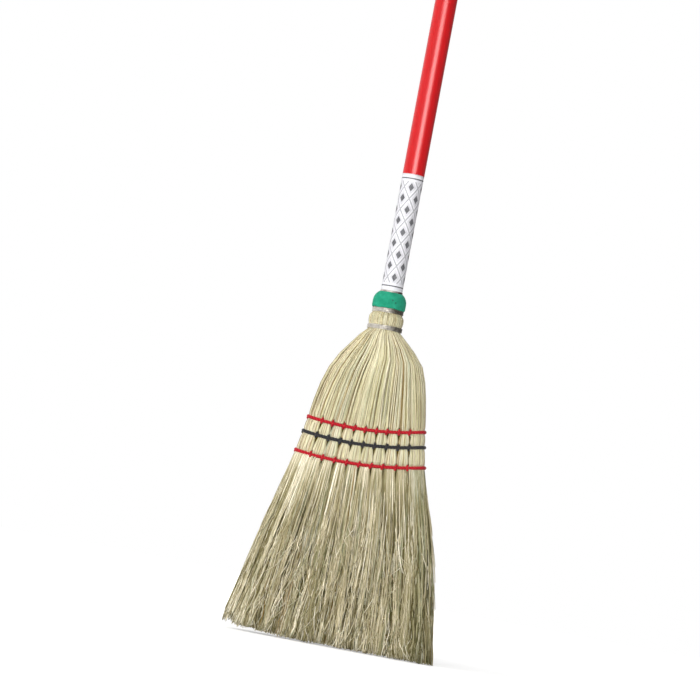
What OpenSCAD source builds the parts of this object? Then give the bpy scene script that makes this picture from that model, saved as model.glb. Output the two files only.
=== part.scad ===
// Lobby broom: broom corn wired round a wooden handle and sewn flat with three rows of twine.
// Millimetres. +Z runs up the handle, +X to the right of the front, and the front faces -Y.
// The origin is the middle of the cut end of the corn, on the floor.

/* [Handle] */
// Length of the broom, from the cut end of the corn to the top of the handle
broom_h = 965; // [850:5:1200]
// Diameter of the handle
handle_d = 22.2; // [20:0.1:25.4]
// Length of handle held inside the head, below the lower wire
handle_hold = 64; // [45:1:80]
// Depth of the seat turned on the handle for the label, the collar and the corn
seat_cut = 0.5; // [0.4:0.05:0.8]
// Bevel round the end of the handle inside the head
handle_bevel = 3; // [1:0.5:5]

/* [Label] */
// Height of the paper label
label_h = 118.5; // [60:0.5:160]
// Thickness of the paper
label_t = 0.1; // [0.08:0.01:0.16]
// Width of the lap where the paper's ends are pasted together
label_lap = 7; // [4:0.5:12]

/* [Binding wire] */
// Diameter of the wire
wire_d = 1; // [0.8:0.05:1.2]
// Gap between the turns
wire_gap = 0.45; // [0.45:0.05:0.8]
// Turns above the collar
top_turns = 1; // [1:1:4]
// Turns below the collar
middle_turns = 3; // [2:1:6]
// Turns at the foot of the neck
lower_turns = 3; // [2:1:6]
// Turns round the inner corn, out of sight
inner_turns = 4; // [2:1:4]
// How far the inner wire's ends reach into the handle
wire_hold = 4; // [2:0.5:6]

/* [Neck and collar] */
// Thickness of the inner corn in the neck
inner_t = 2; // [1.5:0.1:3]
// Thickness of the cover corn in the neck
cover_t = 3.6; // [3:0.1:5]
// Height of bare corn between the middle and the lower wire
neck_h = 11.6; // [10:0.2:18]
// How far the lower wire draws the neck in
lower_pinch = 1; // [0.6:0.1:1.2]
// How far the middle wire draws the neck in
middle_pinch = 2.8; // [1.5:0.1:3.2]
// How far the collar draws the corn in
collar_pinch = 2.3; // [0.8:0.1:2.5]
// Height of the cloth collar
collar_h = 15.4; // [12:0.2:22]
// Thickness of the cloth
collar_t = 1.4; // [0.8:0.1:2]
// Diameter of a tack's head
tack_head_d = 1.8; // [1.4:0.1:3]
// Diameter of a tack's shank
tack_d = 0.9; // [0.7:0.1:1.2]
// How far a tack reaches into the handle
tack_hold = 4; // [2:0.5:6]

/* [Head] */
// Width of the cut end
cut_w = 215; // [190:1:240]
// Depth of the cut end
cut_d = 52; // [44:1:64]
// Height of the middle of the skirt
skirt_h = 96; // [80:1:110]
// Width of the middle of the skirt
skirt_w = 176; // [165:1:195]
// Depth of the middle of the skirt
skirt_d = 45; // [40:1:52]
// Width at the lowest row of sewing
low_row_w = 131; // [124:1:144]
// Width at the highest row of sewing
top_row_w = 118.5; // [112:0.5:126]
// Depth where the head is sewn
sewn_d = 37; // [33:0.5:44]
// Rise from the highest row of sewing to the shoulders
shoulder_rise_h = 38; // [28:1:48]
// Width of the shoulders
shoulder_w = 107; // [100:1:114]
// Depth of the shoulders
shoulder_d = 41; // [38:0.5:46]
// Rise from the shoulders to the slope above them
slope_rise_h = 32; // [24:1:40]
// Width of the slope
slope_w = 87; // [78:1:94]
// Depth of the slope
slope_d = 39; // [37:0.5:44]
// Rise from the slope to the lower wire
neck_rise_h = 31; // [26:1:38]
// Drop from the lower wire to the flare
flare_drop_h = 10; // [8:0.5:12]
// Width of the flare
flare_w = 54; // [52:1:62]
// Depth of the flare
flare_d = 36.6; // [35.5:0.1:38]

/* [Sewing] */
// Height of the lowest row, at the middle of the front
low_row_h = 183; // [150:0.5:215]
// Gap between the lowest and the middle row
mid_row_gap = 20; // [15:0.5:26]
// Gap between the middle and the highest row
top_row_gap = 15; // [12:0.5:20]
// How far the rows rise to the two edges
row_bow = 6; // [0:0.5:12]
// How far the rows rise from the middle to the right
row_skew = 3; // [0:0.5:6]
// Diameter of the twine
twine_d = 2.2; // [1.6:0.1:2.6]
// Gap where the twine passes over itself
twine_gap = 0.5; // [0.45:0.05:0.8]
// How far the twine draws the corn in
row_depth = 1.2; // [0.6:0.1:1.6]
// Length of twine tucked into the corn at its ends
twine_tuck = 8; // [5:0.5:10]
// Bundles that the stitches divide each face into
bundles = 8; // [6:1:10]

/* [Corn strands] */
// Strands across each face
face_strands = 62; // [50:1:70]
// Strands along each shoulder
shoulder_strands = 9; // [7:1:10]
// Rows of strands in each shoulder
shoulder_rows = 3; // [2:1:3]
// Strands across each row of the inner corn
inner_strands = 25; // [20:1:28]
// Rows of strands in the inner corn
inner_rows = 5; // [3:2:5]
// Length of each strand held in the sewn corn
strand_hold = 5; // [3:0.5:8]

/* [Hidden] */
$fn = 48;

// Clearances, and the overrun of every cut
paste_gap = 0.05;
lay_gap = 0.15;
corn_gap = 0.25;
over = 1;

// Small sizes of the corn
slit_depth = 1.1;
groove_h = 5;
sewn_below = 12;
neck_step = 3;
tack_head_t = 0.5;

// Squareness of the head's section, as a superellipse exponent: 2 is an ellipse
round_power = 2;
flare_power = 2.1;
slope_power = 2.2;
shoulder_power = 2.5;
sewn_power = 3;
skirt_power = 2.8;
cut_power = 2.6;

// Shares of the sizes that they follow
neck_top_share = 0.4;
collar_crown_share = 0.5;
neck_slit_share = 0.35;
butt_angle_shares = [0, 0.35, 0.6, 0.75];
strand_width_share = 0.44;
face_strand_share = 0.925;
shoulder_strand_shares = [0.89, 0.935, 0.98];
inner_reach_share = 0.86;
inner_depth_share = 0.74;
tack_height_shares = [0.5, 0.37];
bow_fade_shares = [0, 1, 1, 0];

// Where the wires' ends and the tacks stand, in degrees round the handle
wire_angle = 90;
tack_angles = [279, 290];

// Counts of sides, rings and steps
tube_sides = 6;
rod_sides = 8;
turn_rings = 24;
strand_sides = 3;
bundle_steps = 3;
shoulder_bundles = 3;
slope_steps = 6;
collar_steps = 8;
stitch_steps = 4;
edge_steps = 16;

// Radii, from the handle outwards
handle_r = handle_d / 2;
seat_r = handle_r - seat_cut;
wire_r = wire_d / 2;
twine_r = twine_d / 2;
bore_r = seat_r + lay_gap;
inner_neck_r = bore_r + inner_t;
inner_wire_r = inner_neck_r + lay_gap + wire_r;
cover_bore_r = inner_wire_r + wire_r + lay_gap;
neck_r = cover_bore_r + cover_t;
lower_seat_r = neck_r - lower_pinch;
middle_seat_r = neck_r - middle_pinch;
butt_r = neck_r - collar_pinch;
collar_r = butt_r + lay_gap + collar_t;
cover_share = cover_bore_r / lower_seat_r;

// Heights, from the cut upwards
wire_pitch = wire_d + wire_gap;
function band_h(turns) = turns * wire_pitch + wire_d + 2 * lay_gap;
body_z = low_row_h - sewn_below;
mid_row_h = low_row_h + mid_row_gap;
top_row_h = mid_row_h + top_row_gap;
shoulder_h = top_row_h + shoulder_rise_h;
slope_h = shoulder_h + slope_rise_h;
head_h = slope_h + neck_rise_h;
flare_h = head_h - flare_drop_h;
handle_z = head_h - handle_hold;
neck_z = head_h + band_h(lower_turns);
inner_top_z = neck_z + neck_h * neck_top_share;
middle_z = neck_z + neck_h;
collar_z = middle_z + band_h(middle_turns);
crown_z = collar_z + collar_h * collar_crown_share;
top_z = collar_z + collar_h;
label_z = top_z + band_h(top_turns);
label_top_z = label_z + label_h;
dome_z = broom_h - handle_r;

// The head's section by height: half-width, half-depth and squareness
head_table = [
    [0, cut_w / 2, cut_d / 2, cut_power],
    [skirt_h, skirt_w / 2, skirt_d / 2, skirt_power],
    [low_row_h, low_row_w / 2, sewn_d / 2, sewn_power],
    [top_row_h, top_row_w / 2, sewn_d / 2, sewn_power],
    [shoulder_h, shoulder_w / 2, shoulder_d / 2, shoulder_power],
    [slope_h, slope_w / 2, slope_d / 2, slope_power],
    [flare_h, flare_w / 2, flare_d / 2, flare_power],
    [head_h, lower_seat_r, lower_seat_r, round_power]
];

// How much of the rows' bow the corn has at each height
bow_heights = [0, low_row_h, top_row_h, slope_h];
bow_table = [for (i = [0:3]) [bow_heights[i], bow_fade_shares[i]]];

// A smooth curve through one column of a table of heights
function table_slope(t, c, i) =
    let (a = max(i - 1, 0), b = min(i + 1, len(t) - 1))
    (t[b][c] - t[a][c]) / (t[b][0] - t[a][0]);
function table_row(t, z) = max([0, for (i = [0:len(t) - 2]) if (z >= t[i][0]) i]);
function table_curve(t, c, z) =
    let (i = table_row(t, z), h = t[i + 1][0] - t[i][0], k = (z - t[i][0]) / h)
    let (rise_a = table_slope(t, c, i) * h, rise_b = table_slope(t, c, i + 1) * h)
    t[i][c] * (2 * k^3 - 3 * k^2 + 1) + t[i + 1][c] * (3 * k^2 - 2 * k^3)
    + rise_a * (k^3 - 2 * k^2 + k) + rise_b * (k^3 - k^2);

// A section is [height, half-width, half-depth, squareness, share of the bow]
function section(z) = [z, table_curve(head_table, 1, z), table_curve(head_table, 2, z),
    table_curve(head_table, 3, z), lookup(z, bow_table)];
function resized(s, share, extra) = [s[0], s[1] * share + extra, s[2] * share + extra, s[3], s[4]];
function round_section(z, r) = [z, r, r, round_power, 0];

// The four sides of a section, anticlockwise
front = 0;
right = 1;
back = 2;
left = 3;

// Half the length of one side of a section, to the corners that it shares with its neighbours
function corner_share(s) = pow(1 / 2, 1 / s[3]);
function half_side(s, side) = corner_share(s) * (side % 2 == 0 ? s[1] : s[2]);

// A point of a section: k runs from -1 to 1 along one side, and inset moves the point inwards
function side_point(s, side, k, inset = 0) =
    let (u = k * corner_share(s), v = pow(1 - pow(abs(u), s[3]), 1 / s[3]))
    let (flat = side % 2 == 0, along = u * (flat ? s[1] : s[2]), out = v * (flat ? s[2] : s[1]) - inset)
    let (p = side == front ? [along, -out] : side == right ? [out, along] :
        side == back ? [-along, out] : [-out, -along])
    lifted(s, p);
// A point inside a section, from shares of its half-width and of its half-depth there
function inner_point(s, u, v) = lifted(s, [u * s[1], v * s[2] * pow(1 - pow(abs(u), s[3]), 1 / s[3])]);
function lifted(s, p) = let (u = p.x / s[1]) [p.x, p.y, s[0] + s[4] * (row_bow * u * u + row_skew * u)];

// Faces of a loft through rings of m points, listed from the bottom up
// From the ring's edge called turned, the squares are cut along their other diagonal
function loft_faces(rings, m, turned) = [
    for (i = [0:rings - 2], k = [0:m - 1], upper = [false, true])
        let (a = i * m + k, b = i * m + (k + 1) % m)
        k < turned ? (upper ? [a, a + m, b + m] : [a, b + m, b])
            : (upper ? [a + m, b + m, b] : [a, a + m, b])
];
function fan_faces(start, m, turned) = [
    for (k = [1:m - 2]) turned ? [start, start + k + 1, start + k] : [start, start + k, start + k + 1]
];
// Faces that close a ring made of an outer arc and an inner arc with fewer points
function arc_faces(start, outer, inner, turned) =
    let (per = (outer - 1) / (inner - 1), last = start + outer + inner - 1)
    [for (p = [0:inner - 2], j = [0:per])
        let (o = start + p * per + j, a = last - p)
        let (f = j < per ? [o, o + 1, a] : [o, a - 1, a])
        turned ? [f[0], f[2], f[1]] : f];

// A tube of one radius along a path
function unit(v) = v / norm(v);
function tangent(path, i) = unit(path[min(i + 1, len(path) - 1)] - path[max(i - 1, 0)]);
function squared(n, t) = unit(n - (n * t) * t);
function path_normals(path, first) = [
    for (i = 0, n = squared(first, tangent(path, 0)); i < len(path);
        i = i + 1, n = squared(n, tangent(path, min(i, len(path) - 1)))) n
];
module tube(path, r, first) {
    normals = path_normals(path, first);
    points = [
        for (i = [0:len(path) - 1], k = [0:tube_sides - 1])
            let (n = normals[i], b = cross(tangent(path, i), n), a = k * 360 / tube_sides)
            path[i] + r * (cos(a) * n + sin(a) * b)
    ];
    faces = concat(loft_faces(len(path), tube_sides, tube_sides), fan_faces(0, tube_sides, false),
        fan_faces((len(path) - 1) * tube_sides, tube_sides, true));
    polyhedron(points, faces);
}
// The least gap between stretches of one tube that lie further apart along it than skip points
function least_gap(path, d, skip) = min([
    for (i = [0:len(path) - 1], j = [i + skip:1:len(path) - 1]) norm(path[i] - path[j])]) - d;

// A straight rod between two points, with its ends run on
module rod(a, b, r, extra_a = 0, extra_b = 0) {
    way = unit(b - a);
    from = a - way * extra_a;
    translate(from)
        rotate([0, acos(way.z), atan2(way.y, way.x)])
            cylinder(r = r, h = norm(b - a) + extra_a + extra_b, $fn = rod_sides);
}
// A round rod square to the handle's axis, for tacks and holes
module radial_rod(angle, z, r_from, r_to, r) {
    rotate([0, 0, angle])
        translate([r_from, 0, z])
            rotate([0, 90, 0])
                cylinder(r = r, h = r_to - r_from);
}

// A winding: its ends run straight in for a wire's diameter or more, and bend round into the turns
function polar(r, angle, across, z) =
    [r * cos(angle) - across * sin(angle), r * sin(angle) + across * cos(angle), z];
function wire_end(r, reach, z, way) = concat(
    [polar(r - reach, wire_angle, 0, z)],
    [for (a = [0, 30, 60]) polar(r - wire_d * (1 - sin(a)), wire_angle, way * wire_d * (1 - cos(a)), z)]);
function reversed(list) = [for (i = [len(list) - 1:-1:0]) list[i]];
function winding(r, z, turns, reach) =
    let (lead = wire_d / r * 180 / PI, foot = z + lay_gap + wire_r, sweep = 360 * turns - 2 * lead)
    let (steps = turns * turn_rings, rise = turns * wire_pitch)
    concat(wire_end(r, reach, foot, 1),
        [for (i = [0:steps]) polar(r, wire_angle + lead + sweep * i / steps, 0, foot + rise * i / steps)],
        reversed(wire_end(r, reach, foot + rise, -1)));
module wire(path) {
    color("silver") tube(path, wire_r, [0, 0, 1]);
}
module wire_holes(r, z, turns, reach) {
    hole_r = wire_r + lay_gap;
    for (i = [0, turns])
        radial_rod(wire_angle, z + hole_r + i * wire_pitch, r - reach - lay_gap, r, hole_r);
}
wire_reach = 2 * wire_d;
inner_reach = inner_wire_r - seat_r + wire_hold;
top_wire_r = seat_r + lay_gap + wire_r;
middle_wire_r = middle_seat_r + lay_gap + wire_r;
lower_wire_r = lower_seat_r + lay_gap + wire_r;
inner_wire_z = head_h + (inner_top_z - head_h - band_h(inner_turns)) / 2;
top_path = winding(top_wire_r, top_z, top_turns, wire_reach);
middle_path = winding(middle_wire_r, middle_z, middle_turns, wire_reach);
lower_path = winding(lower_wire_r, head_h, lower_turns, wire_reach);
inner_path = winding(inner_wire_r, inner_wire_z, inner_turns, inner_reach);

// The rows of sewing: a band goes once round the head, and stitches over it go through and through
row_heights = [low_row_h, mid_row_h, top_row_h];
band_drop = twine_d + twine_gap;
stitch_r = (twine_d + twine_gap) / cos(90 / stitch_steps);
face_steps = 2 * bundles;
function band_stops() = concat(
    [for (i = [0:edge_steps / 2 - 1]) [left, 2 * i / edge_steps]],
    [for (i = [0:face_steps - 1]) [front, 2 * i / face_steps - 1]],
    [for (i = [0:edge_steps - 1]) [right, 2 * i / edge_steps - 1]],
    [for (i = [0:face_steps - 1]) [back, 2 * i / face_steps - 1]],
    [for (i = [0:edge_steps / 2]) [left, 2 * i / edge_steps - 1]]);
function band(row_z) =
    let (s = resized(section(row_z), 1, corn_gap + twine_r - row_depth), stops = band_stops())
    [for (i = [0:len(stops) - 1])
        let (drop = band_drop * band_share(i, len(stops) - 1), climb = abs(drop) * row_depth / groove_h)
        side_point(resized(s, 1, climb), stops[i][0], stops[i][1]) + [0, 0, drop]];
// The band's two ends pass each other on the left edge, one above and one below
function band_share(i, last) = max(1 / 2 - i / edge_steps, 0) - max(1 / 2 - (last - i) / edge_steps, 0);
function front_stitch(b, i) = b[edge_steps / 2 + 2 * i];
function back_stitch(b, i) = b[edge_steps / 2 + edge_steps + 2 * face_steps - 2 * i];
function stitch_low(p) = p - [0, 0, stitch_r];
function stitch_high(p) = p + [0, 0, stitch_r];
function stitch_arc(p, way) = [
    for (i = [0:stitch_steps])
        let (a = -90 + 180 * i / stitch_steps) p + stitch_r * [0, way * cos(a), sin(a)]];
// Where the twine starts, turns in to its first stitch, and ends, all inside the corn
function twine_start(b) = b[0] + [twine_tuck, 0, 0];
function twine_turn(b) = [front_stitch(b, 0).x, 0, stitch_low(front_stitch(b, 0)).z];
function turn_in(b) = twine_turn(b) - twine_d * unit(twine_turn(b) - b[len(b) - 1]);
function turn_out(b) = twine_turn(b) - [0, twine_d, 0];
function twine_end(b) = stitch_low(back_stitch(b, bundles)) - [0, twine_tuck, 0];
function twine(row_z) =
    let (b = band(row_z))
    concat([twine_start(b)], b, [turn_in(b), turn_out(b)],
        [for (i = [0:bundles]) each concat(stitch_arc(front_stitch(b, i), -1),
            reversed(stitch_arc(back_stitch(b, i), 1)))],
        [twine_end(b)]);
module sewing(row_z) {
    tube(twine(row_z), twine_r, [0, 0, 1]);
}
// The ways that one row's twine takes through the corn
module twine_holes(row_z) {
    b = band(row_z);
    r = twine_r + lay_gap;
    turn = twine_turn(b);
    rod(b[0], twine_start(b), r, over, over);
    rod(b[len(b) - 1], turn, r, over, r);
    rod(turn_in(b), turn_out(b), r, twine_r, twine_r);
    rod(turn, stitch_low(front_stitch(b, 0)), r, r, over);
    for (i = [0:bundles])
        rod(stitch_high(front_stitch(b, i)), stitch_high(back_stitch(b, i)), r, over, over);
    for (i = [0:bundles - 1])
        rod(stitch_low(back_stitch(b, i)), stitch_low(front_stitch(b, i + 1)), r, over, over);
    rod(stitch_low(back_stitch(b, bundles)), twine_end(b), r, over, over);
}
module sewing_holes() {
    for (row_z = row_heights)
        twine_holes(row_z);
}

// The collar's curve from its widest place in to the handle, as [radius, height]
function collar_point(inset, share) = [
    bore_r + (collar_r - inset - bore_r) * cos(90 * share),
    crown_z + (top_z - inset - crown_z) * sin(90 * share)];

// The outside and the inside of the cover corn, from the sewing to the butts under the collar
groove_heights = [for (z = row_heights, side = [-1, 0, 1]) z + side * groove_h];
slope_z = top_row_h + groove_h;
head_heights = concat([body_z], groove_heights,
    [for (i = [1:slope_steps]) slope_z + (head_h - slope_z) * i / slope_steps]);
butt_gap = collar_t + lay_gap;
neck_rings = [
    [neck_z, lower_seat_r, cover_bore_r - lay_gap],
    [inner_top_z, neck_r, cover_bore_r - lay_gap],
    [inner_top_z + neck_step, neck_r, seat_r],
    [middle_z, middle_seat_r, seat_r],
    [collar_z, middle_seat_r, seat_r]
];
butt_rings = [for (share = butt_angle_shares) let (p = collar_point(butt_gap, share)) [p[1], p[0], seat_r]];
function is_row(z) = len([for (row_z = row_heights) if (row_z == z) row_z]) > 0;
// Each ring of the cover is [outer section, inner section, share of the slits' depth]
cover_rings = concat(
    [for (z = head_heights)
        [resized(section(z), 1, is_row(z) ? -row_depth : 0), resized(section(z), cover_share, 0),
            min(1, (section(z)[1] - lower_seat_r) / lower_seat_r + neck_slit_share)]],
    [for (r = neck_rings) [round_section(r[0], r[1]), round_section(r[0], r[2]), neck_slit_share]],
    [for (r = butt_rings) [round_section(r[0], r[1]), round_section(r[0], r[2]), 0]]);

// One side of the cover: slits part its outside into bundles, and it stops short of its neighbours
function near_corner(s, side) = 1 - lay_gap / half_side(s, side);
function lining_point(ring, side, i, last) =
    side_point(ring[1], side, near_corner(ring[1], side) * (2 * i / last - 1));
function cover_point(ring, side, i, last) =
    let (slit = i % bundle_steps == 0 ? slit_depth * ring[2] : 0, edge = i == 0 || i == last)
    let (s = edge ? resized(ring[0], 1 - slit / ring[0][2], 0) : ring[0])
    side_point(s, side, near_corner(s, side) * (2 * i / last - 1), edge ? 0 : slit);
module cover_body(side, parts) {
    outer = parts * bundle_steps + 1;
    inner = parts + 1;
    points = [
        for (ring = cover_rings)
            each concat(
                [for (i = [0:outer - 1]) cover_point(ring, side, i, outer - 1)],
                [for (i = [inner - 1:-1:0]) lining_point(ring, side, i, inner - 1)])
    ];
    m = outer + inner;
    faces = concat(loft_faces(len(cover_rings), m, m - 1), arc_faces(0, outer, inner, false),
        arc_faces((len(cover_rings) - 1) * m, outer, inner, true));
    polyhedron(points, faces);
}
module wire_ways() {
    wire_holes(middle_wire_r, middle_z, middle_turns, wire_reach);
    wire_holes(lower_wire_r, head_h, lower_turns, wire_reach);
}
// Room in the cover for the handle and for the wire round the inner corn
module cover_bores() {
    translate([0, 0, inner_top_z])
        cylinder(r = bore_r, h = top_z - inner_top_z);
    translate([0, 0, inner_wire_z])
        cylinder(r = cover_bore_r, h = band_h(inner_turns));
}

// One strand: level triangles round a list of points from the cut up, so that the cut is flat
module strand(path, radii, turn) {
    points = [
        for (i = [0:len(path) - 1], k = [0:strand_sides - 1])
            let (a = turn + k * 360 / strand_sides) path[i] + radii[i] * [cos(a), sin(a), 0]
    ];
    faces = concat(loft_faces(len(path), strand_sides, strand_sides), fan_faces(0, strand_sides, false),
        fan_faces((len(path) - 1) * strand_sides, strand_sides, true));
    polyhedron(points, faces);
}
strand_sections = [section(0), section(skirt_h), section(body_z + strand_hold)];
module side_strands(side, count, shares) {
    for (share = shares, i = [0:count - 1]) {
        k = (2 * i + 1) / count - 1;
        path = [for (s = strand_sections) side_point(resized(s, share, 0), side, k)];
        radii = [for (s = strand_sections) strand_width_share * 2 * half_side(s, side) * share / count];
        strand(path, radii, i % 2 * 180 - 90);
    }
}
module inner_strand_rows() {
    ends = [for (i = [0, 2]) resized(strand_sections[i], cover_share, 0)];
    for (row = [0:inner_rows - 1], i = [0:inner_strands - 1]) {
        u = inner_reach_share * ((2 * i + 1) / inner_strands - 1);
        v = inner_depth_share * (2 * row / (inner_rows - 1) - 1);
        path = [for (s = ends) inner_point(s, u, v)];
        radii = [for (s = ends) strand_width_share * 2 * inner_reach_share * s[1] / inner_strands];
        strand(path, radii, (i + row) % 2 * 180 - 90);
    }
}

// The inner corn: it fills the cover from the sewing up, and closes round the handle in the neck
inner_sections = concat(
    [for (z = head_heights) if (z < head_h) resized(section(z), cover_share, -corn_gap)],
    [round_section(head_h, inner_neck_r), round_section(inner_top_z - corn_gap, inner_neck_r)]);
module inner_body() {
    steps = [bundles, shoulder_bundles, bundles, shoulder_bundles];
    points = [
        for (s = inner_sections, side = [front, right, back, left], i = [0:steps[side] - 1])
            side_point(s, side, 2 * i / steps[side] - 1)
    ];
    m = 2 * bundles + 2 * shoulder_bundles;
    count = len(inner_sections);
    foot = [0, 0, inner_sections[0][0]];
    head = [0, 0, inner_sections[count - 1][0]];
    faces = concat(loft_faces(count, m, 0),
        [for (k = [0:m - 1]) [count * m, k, (k + 1) % m]],
        [for (k = [0:m - 1]) [count * m + 1, (count - 1) * m + (k + 1) % m, (count - 1) * m + k]]);
    polyhedron(concat(points, [foot, head]), faces);
}

module handle() {
    color("firebrick")
        difference() {
            rotate_extrude() {
                polygon([
                    [0, handle_z], [seat_r - handle_bevel, handle_z], [seat_r, handle_z + handle_bevel],
                    [seat_r, label_top_z], [handle_r, label_top_z], [handle_r, dome_z], [0, dome_z]
                ]);
                translate([0, dome_z])
                    intersection() {
                        circle(handle_r);
                        square(handle_r);
                    }
            }
            wire_holes(top_wire_r, top_z, top_turns, wire_reach);
            wire_holes(inner_wire_r, inner_wire_z, inner_turns, inner_reach);
            tack_holes();
        }
}

// The label is one turn of paper, lapped at the back
module label() {
    label_r = seat_r + paste_gap;
    lap = label_lap / label_r * 180 / PI;
    color("white")
        translate([0, 0, label_z])
            union() {
                rotate_extrude()
                    translate([label_r, 0])
                        square([label_t, label_h - paste_gap]);
                rotate([0, 0, wire_angle - lap / 2])
                    rotate_extrude(angle = lap)
                        translate([label_r + label_t / 2, label_t])
                            square([label_t * 3 / 2, label_h - 2 * label_t]);
            }
}

module top_wire() wire(top_path);
module middle_wire() wire(middle_path);
module lower_wire() wire(lower_path);
module inner_wire() wire(inner_path);

module collar() {
    shares = [for (i = [0:collar_steps]) i / collar_steps];
    color("mediumseagreen")
        difference() {
            rotate_extrude()
                polygon(concat(
                    [[collar_r - collar_t, collar_z], [collar_r - collar_t / 2, collar_z]],
                    [[collar_r, collar_z + collar_t]],
                    [for (share = shares) collar_point(0, share)],
                    [for (share = reversed(shares)) collar_point(collar_t, share)]));
            tack_holes();
        }
}

// The tacks go through the collar and the corn into the handle
function tack_z(i) = collar_z + collar_h * tack_height_shares[i];
module tack_holes() {
    point_r = seat_r - tack_hold - lay_gap;
    for (i = [0:len(tack_angles) - 1])
        radial_rod(tack_angles[i], tack_z(i), point_r, collar_r + over, tack_d / 2 + paste_gap);
}
module collar_tacks() {
    point_r = seat_r - tack_hold;
    head_r = collar_r + lay_gap;
    color("darkgreen")
        for (i = [0:len(tack_angles) - 1])
            union() {
                radial_rod(tack_angles[i], tack_z(i), point_r, head_r + tack_head_t / 2, tack_d / 2);
                radial_rod(tack_angles[i], tack_z(i), head_r, head_r + tack_head_t, tack_head_d / 2);
            }
}

module inner_corn() {
    color("khaki") {
        difference() {
            inner_body();
            translate([0, 0, handle_z - lay_gap])
                cylinder(r = bore_r, h = inner_top_z - handle_z + over);
            sewing_holes();
            wire_holes(inner_wire_r, inner_wire_z, inner_turns, inner_reach);
        }
        inner_strand_rows();
    }
}
module cover_corn(side, parts, strands, shares) {
    color("palegoldenrod") {
        difference() {
            cover_body(side, parts);
            cover_bores();
            sewing_holes();
            if (side == back)
                wire_ways();
            if (side == front)
                tack_holes();
        }
        side_strands(side, strands, shares);
    }
}
shoulder_shares = [for (i = [0:shoulder_rows - 1]) shoulder_strand_shares[i]];
module left_shoulder_corn() cover_corn(left, shoulder_bundles, shoulder_strands, shoulder_shares);
module right_shoulder_corn() cover_corn(right, shoulder_bundles, shoulder_strands, shoulder_shares);
module front_cover_corn() cover_corn(front, bundles, face_strands, [face_strand_share]);
module back_cover_corn() cover_corn(back, bundles, face_strands, [face_strand_share]);

module upper_twine() color("crimson") sewing(top_row_h);
module middle_twine() color("black") sewing(mid_row_h);
module lower_twine() color("crimson") sewing(low_row_h);

// The least gap of each winding and of each row of twine to itself
wire_paths = [top_path, middle_path, lower_path, inner_path];
echo(wire_gaps = [for (path = wire_paths) least_gap(path, wire_d, turn_rings / 2)]);
echo(twine_gaps = [for (z = row_heights) least_gap(twine(z), twine_d, stitch_steps)]);

handle();
label();
top_wire();
collar();
collar_tacks();
middle_wire();
lower_wire();
inner_wire();
inner_corn();
left_shoulder_corn();
right_shoulder_corn();
front_cover_corn();
back_cover_corn();
upper_twine();
middle_twine();
lower_twine();
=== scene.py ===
import bpy
import numpy as np
from mathutils import Matrix, Vector


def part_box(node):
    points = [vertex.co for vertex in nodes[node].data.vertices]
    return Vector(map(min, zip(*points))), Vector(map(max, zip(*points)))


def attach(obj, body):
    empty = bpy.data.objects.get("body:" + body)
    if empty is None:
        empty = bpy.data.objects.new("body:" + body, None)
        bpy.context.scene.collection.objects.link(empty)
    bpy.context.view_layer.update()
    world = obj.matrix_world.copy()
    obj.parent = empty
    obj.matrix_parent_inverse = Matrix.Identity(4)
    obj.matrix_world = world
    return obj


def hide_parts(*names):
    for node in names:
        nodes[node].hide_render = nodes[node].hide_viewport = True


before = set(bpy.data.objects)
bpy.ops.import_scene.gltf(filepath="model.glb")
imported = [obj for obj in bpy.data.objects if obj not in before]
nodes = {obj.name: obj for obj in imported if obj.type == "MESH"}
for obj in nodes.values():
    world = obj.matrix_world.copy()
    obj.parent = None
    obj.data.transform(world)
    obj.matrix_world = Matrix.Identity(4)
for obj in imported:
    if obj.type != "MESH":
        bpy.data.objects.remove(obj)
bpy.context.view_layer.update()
scene = bpy.context.scene
rng = np.random.default_rng(21)
mm = 0.001
print("frame loaded:", len(nodes), "nodes")

# the head's form in mm, front towards -y. table: height, half-width, half-depth, squareness of the section;
# neck: height and radius, its bends rounded over neckBend; rows of sewing, which bow and skew; furthest: the
# largest share of an axis that a strand reaches; bowShare and lean by height
headForm = dict(
    table=np.array([
        [0, 107.5, 26, 2.6], [96, 88, 22.5, 2.8], [183, 65.5, 18.5, 3], [218, 59.25, 18.5, 3],
        [256, 53.5, 20.5, 2.5], [288, 43.5, 19.5, 2.2], [309, 27, 18.3, 2.1], [319, 16.65, 16.65, 2]]),
    neck=np.array([
        [319, 16.65], [324.6, 16.65], [327.5, 17.6], [333.4, 17.6], [336.2, 14.85], [341.9, 14.85],
        [351, 15.2]]),
    neckBend=1.0, rows=(183, 203, 218), bow=6.0, skew=3.0, bundles=8, lastStitch=0.94, bite=1.2,
    furthest=0.995, bowShare=([0, 183, 218, 288], [0, 1, 1, 0]),
    lean=([0, 70, 130, 178, 250, 272, 296, 312, 320], [2.0, 2.4, 1.8, 0, 0, 1.0, 3.2, 0.6, 0]))
front, right, back, left = range(4)
noiseSpan = (0.3, 0.7)  # where most values of a noise lie


# sRGB hex to linear red, green, blue and alpha
def hexColour(text):
    value = np.array([int(text[i:i + 2], 16) for i in (1, 3, 5)]) / 255
    linear = np.where(value <= 0.04045, value / 12.92, ((value + 0.055) / 1.055) ** 2.4)
    return (*map(float, linear), 1.0)


# adds a node, sets its properties and ramp stops, and fills or links its inputs
def addNode(tree, kind, inputs=None, stops=None, **settings):
    node = tree.nodes.new("ShaderNode" + kind)
    for key, value in settings.items():
        setattr(node, key, value)
    for i, (place, colour) in enumerate(stops or []):
        ramp = node.color_ramp.elements
        stop = ramp[i] if i < len(ramp) else ramp.new(place)
        stop.position, stop.color = place, hexColour(colour)
    for key, value in (inputs or {}).items():
        if isinstance(value, bpy.types.NodeSocket):
            tree.links.new(value, node.inputs[key])
        else:
            node.inputs[key].default_value = value
    return node


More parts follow.
